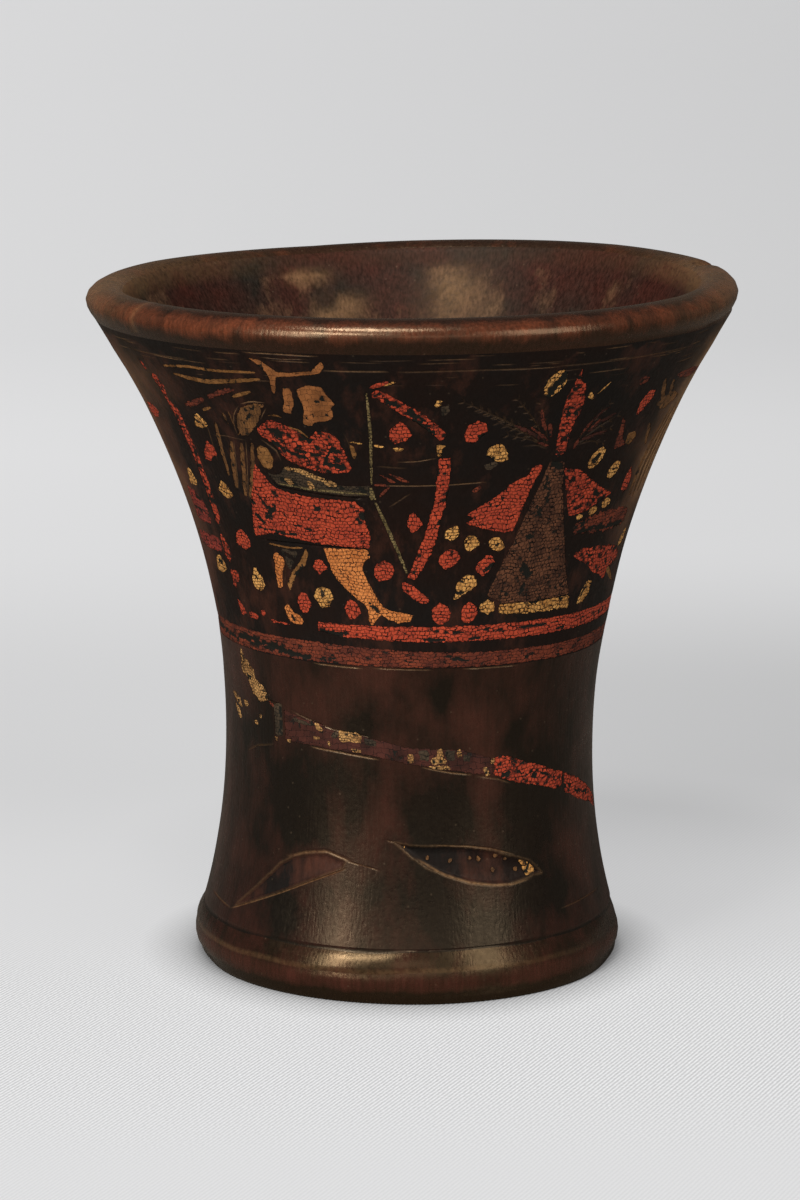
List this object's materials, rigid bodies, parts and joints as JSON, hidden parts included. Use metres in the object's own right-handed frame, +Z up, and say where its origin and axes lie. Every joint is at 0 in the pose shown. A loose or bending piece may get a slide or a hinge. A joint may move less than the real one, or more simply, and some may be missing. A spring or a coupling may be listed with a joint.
{
  "type": "inlaid wooden beaker",
  "caption": "Flared wooden drinking beaker (kero) with a rolled lip, a narrow waist and coloured resin inlays of an archer, a plant, dots and bands set flush in carved pockets.",
  "frame": {"origin": "centre of the flat foot, on the surface it stands on", "axes": "+Z up along the turning axis, -Y towards the front of the picture, +X to its right"},
  "size_m": [0.17, 0.17, 0.18],
  "materials": {
    "wood": "dark, polished by handling",
    "red_resin": "crackled, satin",
    "dull_red_resin": "worn, satin",
    "ochre_resin": "crackled, satin",
    "brown_resin": "worn, matte",
    "olive_resin": "worn, satin"
  },
  "bodies": {
    "root": {"wood_body": "wood", "upper_red_band": "red_resin", "lower_dull_red_band": "dull_red_resin", "divider_stripe_front": "red_resin", "divider_stripe_back": "red_resin", "divider_block_upper": "red_resin", "divider_block_lower": "red_resin", "archer_hat": "ochre_resin", "archer_hair": "ochre_resin", "archer_face": "ochre_resin", "archer_quiver": "brown_resin", "archer_shoulder": "red_resin", "archer_elbow": "ochre_resin", "archer_arm": "olive_resin", "archer_tunic": "red_resin", "archer_left_shin": "ochre_resin", "archer_left_calf": "ochre_resin", "archer_left_foot": "ochre_resin", "archer_right_leg": "ochre_resin", "bow_upper_limb": "red_resin", "bow_grip": "ochre_resin", "bow_lower_limb": "red_resin", "bow_lower_tip": "red_resin", "bowstring_upper": "olive_resin", "bowstring_lower": "olive_resin", "plant_front_trunk": "brown_resin", "plant_front_base": "ochre_resin", "plant_front_left_leaf": "red_resin", "plant_front_right_leaf": "red_resin", "plant_front_plume": "red_resin", "plant_back_trunk": "brown_resin", "plant_back_base": "ochre_resin", "plant_back_left_leaf": "red_resin", "plant_back_right_leaf": "red_resin", "plant_back_plume": "red_resin", "fish": "red_resin", "red_dot_1": "red_resin", "red_dot_2": "red_resin", "red_dot_3": "red_resin", "red_dot_4": "red_resin", "red_dot_5": "red_resin", "red_dot_6": "red_resin", "red_dot_7": "red_resin", "red_dot_8": "red_resin", "red_dot_9": "red_resin", "red_dot_10": "red_resin", "red_dot_11": "red_resin", "red_dot_12": "red_resin", "red_dot_13": "red_resin", "ochre_dot_1": "ochre_resin", "ochre_dot_2": "ochre_resin", "ochre_dot_3": "ochre_resin", "ochre_dot_4": "ochre_resin", "ochre_dot_5": "ochre_resin", "branch_spike": "ochre_resin", "branch_stem": "brown_resin", "branch_red_tip": "red_resin", "branch_red_end": "red_resin"}
  },
  "joints": []
}
